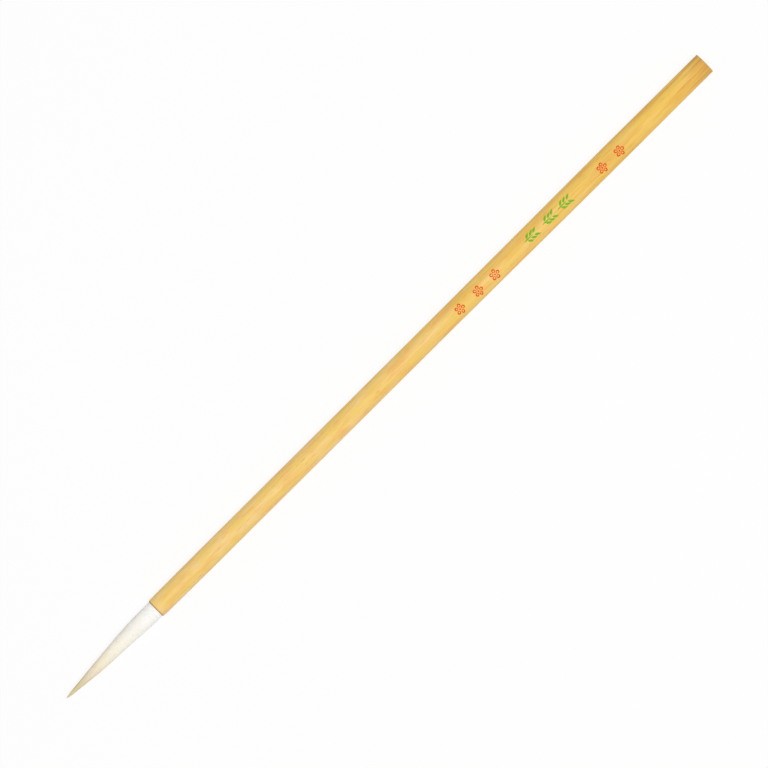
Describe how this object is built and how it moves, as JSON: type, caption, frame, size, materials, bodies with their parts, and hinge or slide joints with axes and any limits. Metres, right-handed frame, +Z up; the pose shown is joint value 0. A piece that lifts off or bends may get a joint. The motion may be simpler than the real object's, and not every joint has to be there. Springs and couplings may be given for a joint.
{
  "type": "calligraphy brush",
  "caption": "Slender bamboo-handled writing brush with a long pointed tuft of white goat hair, thread-bound at the root and glued into a socket; small red and green painted motifs.",
  "frame": {"origin": "on the axis of the brush, in the middle of the cylindrical grip, where the brush is held", "axes": "+X along the axis from the tip of the hair to the rear end of the handle, +Z up out of the painted side as the brush lies, +Y to the left of someone who looks from the tip to the rear end"},
  "size_m": [0.2462, 0.0066, 0.0064],
  "materials": {
    "bamboo": "scraped and polished pale bamboo with fine lengthwise fibres",
    "glue": "hard amber brush glue",
    "seared_hair": "hair ends melted together with a hot iron",
    "thread": "waxed linen binding thread",
    "tip_hair": "long goat hair with pale golden translucent tips",
    "goat_hair": "combed white goat hair",
    "coat_hair": "fine white goat hair, sized to a point",
    "red_paint": "vermilion paint in carved strokes",
    "green_paint": "leaf-green paint in carved strokes"
  },
  "bodies": {
    "root": {"bamboo_handle": "bamboo", "socket_glue": "glue", "seared_root": "seared_hair", "root_thread": "thread", "life_hairs": "tip_hair", "throat_hairs": "goat_hair", "belly_hairs": "goat_hair", "waist_hairs": "goat_hair", "outer_hairs": "coat_hair", "red_blossom_paint": "red_paint", "green_sprig_paint": "green_paint"}
  },
  "joints": []
}
